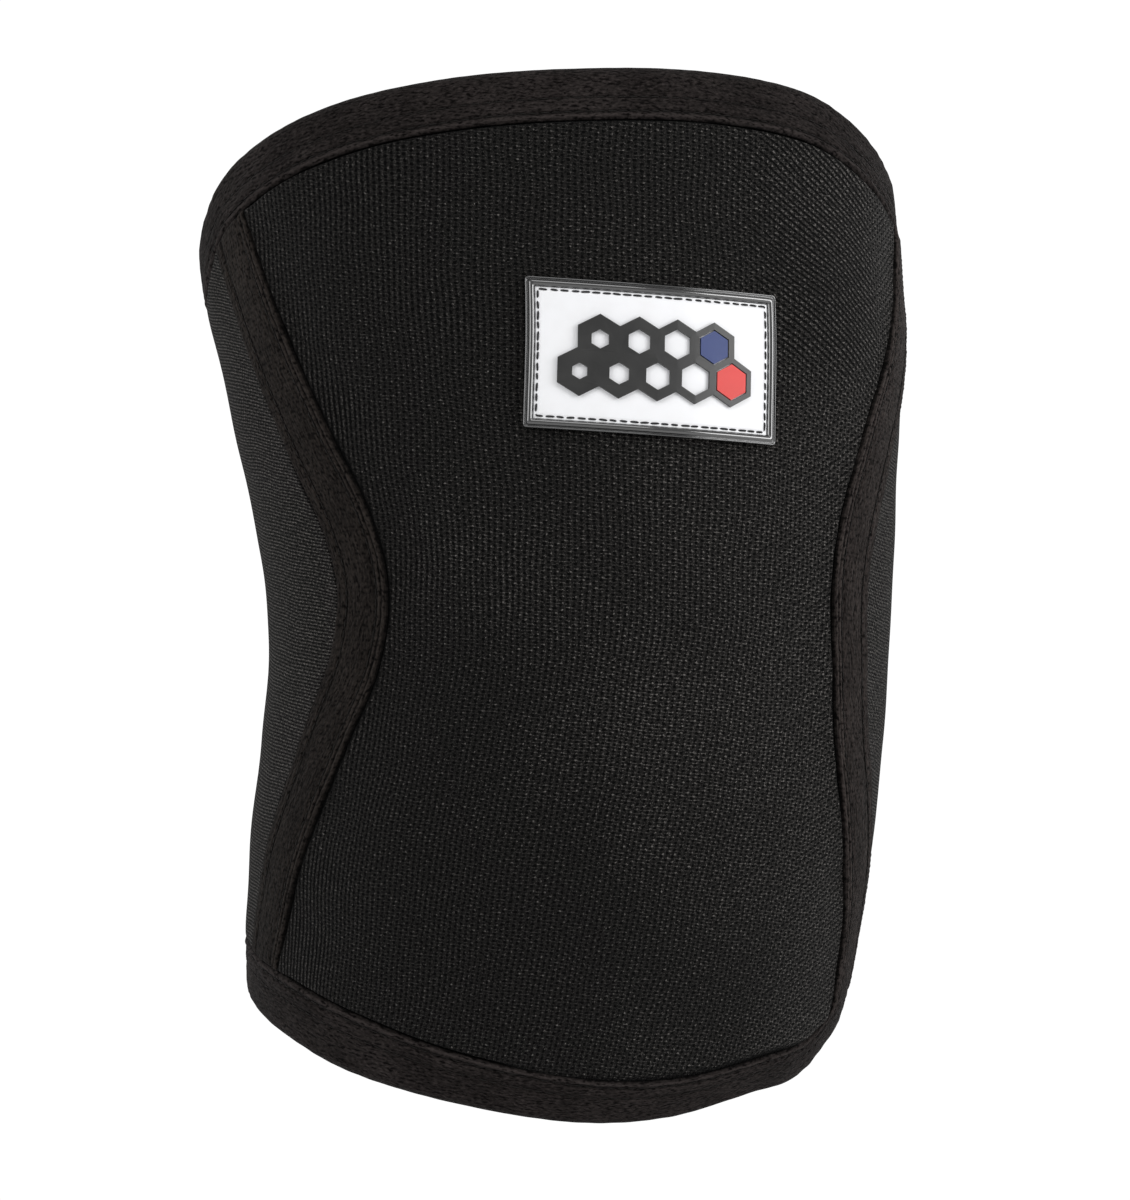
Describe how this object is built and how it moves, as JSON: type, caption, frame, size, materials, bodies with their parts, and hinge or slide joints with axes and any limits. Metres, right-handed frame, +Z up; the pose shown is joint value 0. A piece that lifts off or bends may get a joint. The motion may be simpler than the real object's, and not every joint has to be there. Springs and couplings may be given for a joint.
{
  "type": "knee sleeve",
  "caption": "Thick black knee sleeve in its worn form, slightly bent, with curved side seam tapes, bound edges and a raised rectangular label.",
  "frame": {"origin": "inside the hollow at the knee line, level with the middle of the kneecap, on the axis of the knee's cross-section", "axes": "+Z up the leg towards the thigh, -Y out of the front of the knee, +X to the right as seen from the front"},
  "size_m": [0.1888, 0.1921, 0.2742],
  "materials": {
    "front_cloth": "matte, coarse open weave over foam",
    "side_cloth": "matte, ribbed weave over foam",
    "tape_cloth": "matte knit tape",
    "band_cloth": "matte knit binding",
    "frame_gloss": "glossy moulded rim",
    "face_white": "smooth, slightly glossy",
    "emblem_dark": "satin raised moulding",
    "emblem_red": "satin raised moulding",
    "emblem_blue": "satin raised moulding"
  },
  "bodies": {
    "root": {"front_panel": "front_cloth", "back_panel": "side_cloth", "left_seam_tape": "tape_cloth", "right_seam_tape": "tape_cloth", "top_band": "band_cloth", "bottom_band": "band_cloth", "label_frame": "frame_gloss", "label_face": "face_white", "label_honeycomb": "emblem_dark", "label_tile_red": "emblem_red", "label_tile_blue": "emblem_blue"}
  },
  "joints": []
}
